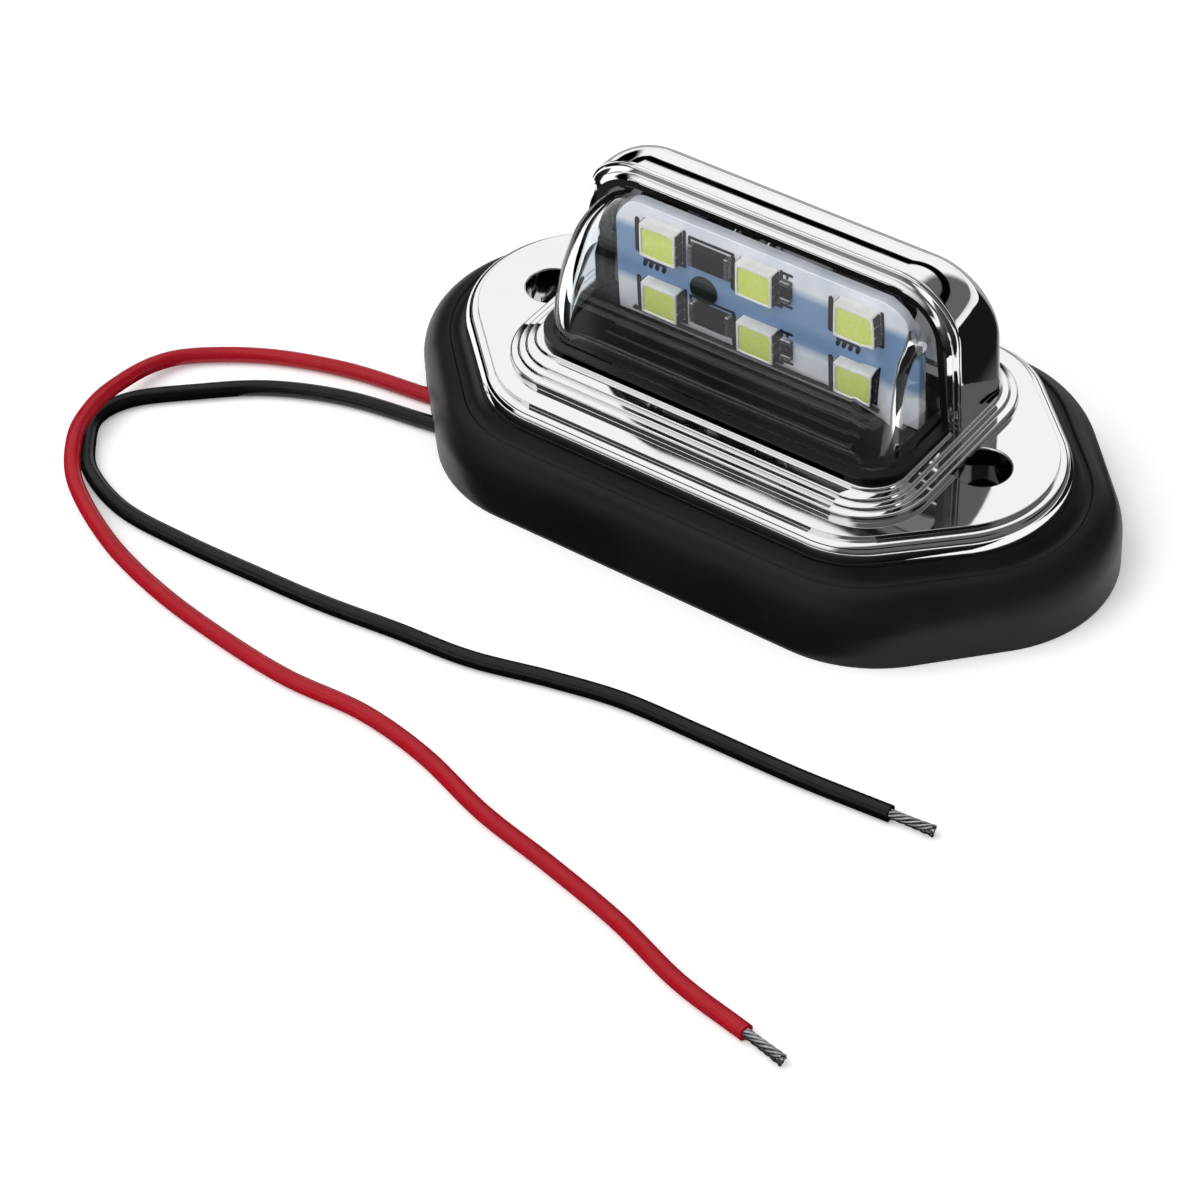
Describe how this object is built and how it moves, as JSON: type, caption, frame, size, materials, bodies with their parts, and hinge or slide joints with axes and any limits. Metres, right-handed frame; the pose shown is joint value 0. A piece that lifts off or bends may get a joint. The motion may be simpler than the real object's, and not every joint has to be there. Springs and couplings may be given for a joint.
{
  "type": "number plate lamp",
  "caption": "Chrome hooded lamp on an elongated rubber pad, with a clear bulging lens over a diode board, two screw holes and two bare-ended leads.",
  "frame": {"origin": "middle of the rubber pad's underside, on the surface that the lamp is screwed to", "axes": "+X along the lamp, -Y the way the lens faces, +Z out of the mounting surface"},
  "size_m": [0.1425, 0.1142, 0.0393],
  "materials": {
    "pad_rubber": "satin moulded rubber",
    "chrome_abs": "bright chrome plating on moulded plastic",
    "clear_lens": "clear moulded polycarbonate",
    "seal_rubber": "satin rubber",
    "board_mask": "white solder mask",
    "led_package": "white moulded package",
    "led_phosphor": "yellow phosphor in clear gel",
    "resistor_body": "glazed ceramic chip",
    "rivet_nylon": "moulded nylon",
    "potting_resin": "cast resin",
    "red_pvc": "extruded wire insulation",
    "black_pvc": "extruded wire insulation",
    "solder": "bright solder",
    "tinned_copper": "tinned strands"
  },
  "bodies": {
    "root": {"rubber_pad": "pad_rubber", "housing": "chrome_abs", "lens": "clear_lens", "lens_seal": "seal_rubber", "circuit_board": "board_mask", "led_1": "led_package", "led_2": "led_package", "led_3": "led_package", "led_4": "led_package", "led_5": "led_package", "led_6": "led_package", "phosphor_1": "led_phosphor", "phosphor_2": "led_phosphor", "phosphor_3": "led_phosphor", "phosphor_4": "led_phosphor", "phosphor_5": "led_phosphor", "phosphor_6": "led_phosphor", "ballast_resistor_1": "resistor_body", "ballast_resistor_2": "resistor_body", "small_resistor_1": "resistor_body", "small_resistor_2": "resistor_body", "board_rivet": "rivet_nylon", "potting": "potting_resin", "red_tail": "red_pvc", "black_tail": "black_pvc", "red_solder": "solder", "black_solder": "solder", "red_lead": "red_pvc", "red_lead_tip": "tinned_copper", "black_lead": "black_pvc", "black_lead_tip": "tinned_copper"}
  },
  "joints": []
}
